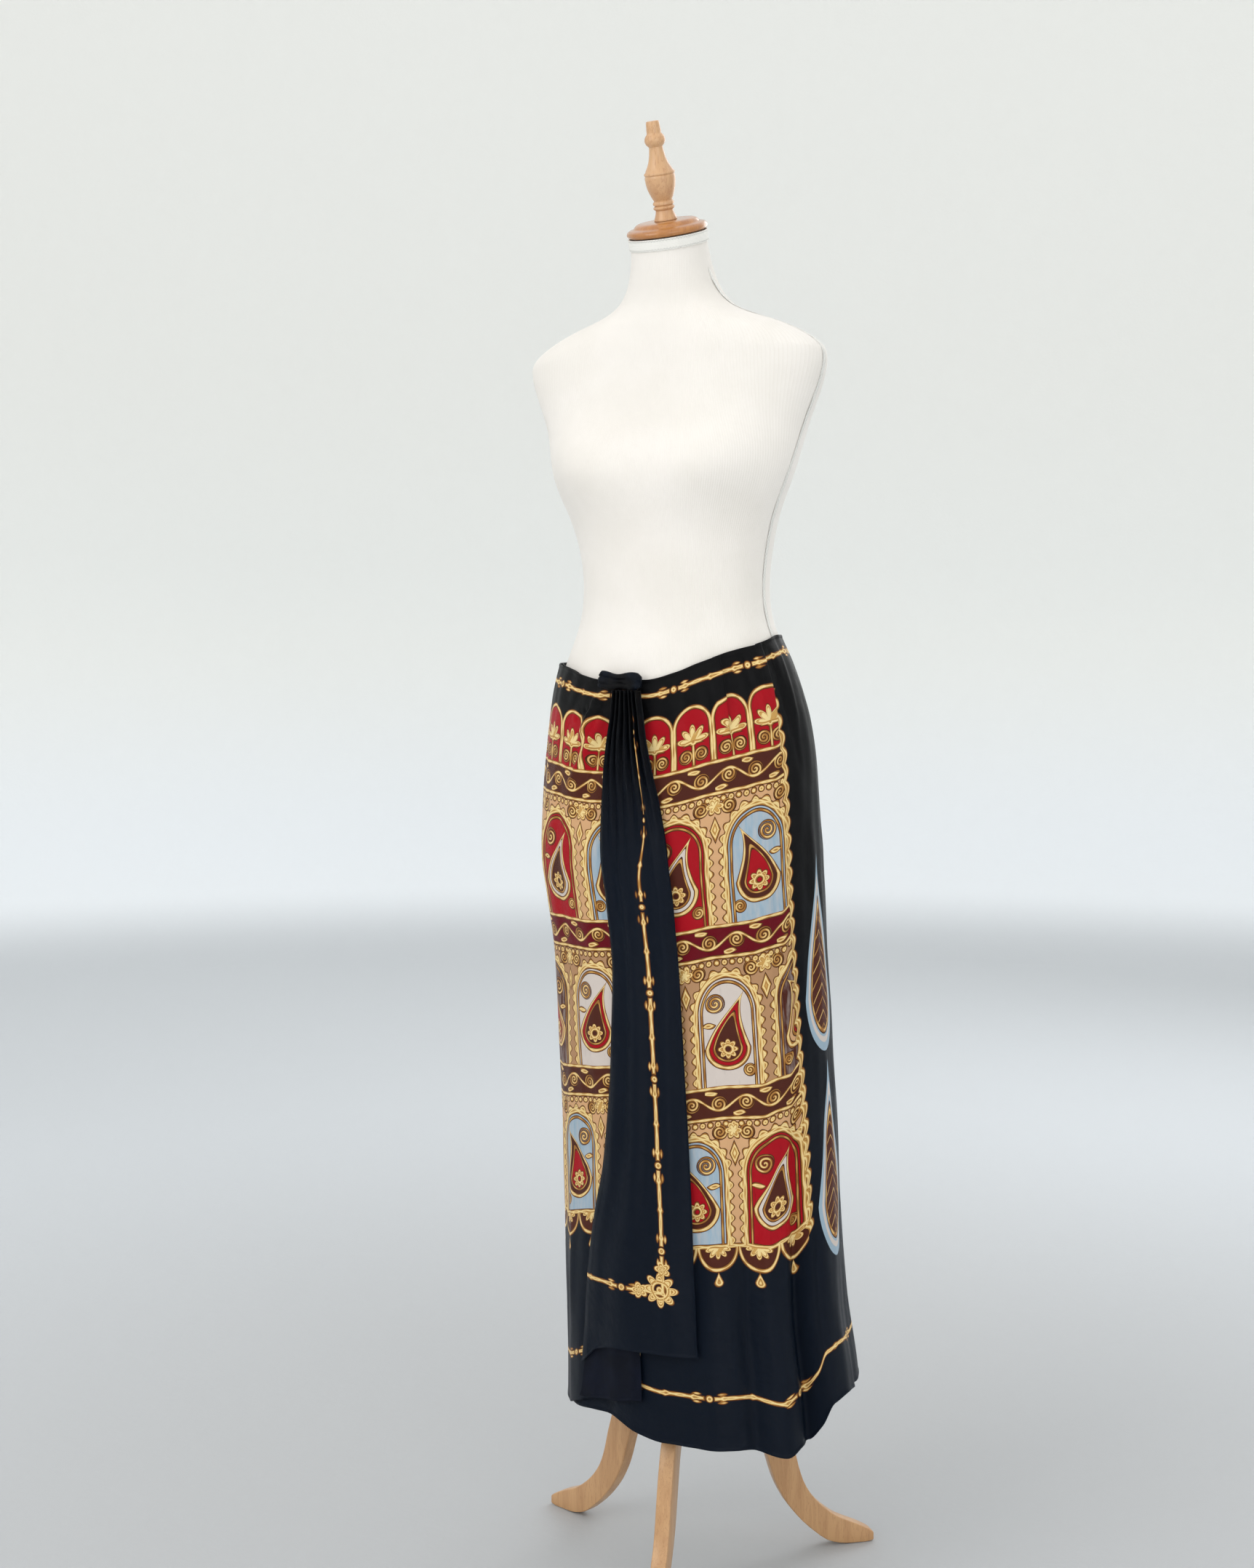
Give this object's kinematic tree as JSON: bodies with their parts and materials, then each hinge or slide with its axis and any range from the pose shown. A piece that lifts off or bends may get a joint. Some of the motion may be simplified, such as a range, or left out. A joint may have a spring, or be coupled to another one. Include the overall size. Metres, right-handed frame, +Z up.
{
  "type": "wrap skirt on a limbless dress form",
  "caption": "Long silk wrap skirt with a gathered front tab and a hanging cascade, worn on a limbless jersey dress form with a wooden neck cap, finial and tripod stand.",
  "frame": {"origin": "on the floor, under the middle of the whole outline", "axes": "+Z up, -Y towards the front of the garment, +X towards the wearer's left"},
  "size_m": [0.4752, 0.4254, 1.8137],
  "materials": {
    "printed_silk": "satin",
    "black_silk": "satin",
    "wrong_side": "matte",
    "jersey": "matte",
    "white_tape": "matte",
    "varnished_wood": "gloss",
    "pale_wood": "satin"
  },
  "bodies": {
    "root": {"front_left_panel": "printed_silk", "back_panel": "printed_silk", "front_right_panel": "printed_silk", "cascade_return": "wrong_side", "cascade_front": "black_silk", "waist_tab": "black_silk", "torso": "jersey", "side_tape_left": "white_tape", "side_tape_right": "white_tape", "neck_band": "white_tape", "neck_cap": "varnished_wood", "finial": "pale_wood", "pole": "pale_wood", "leg_hub": "pale_wood", "leg_front": "pale_wood", "leg_left": "pale_wood", "leg_right": "pale_wood"}
  },
  "joints": []
}
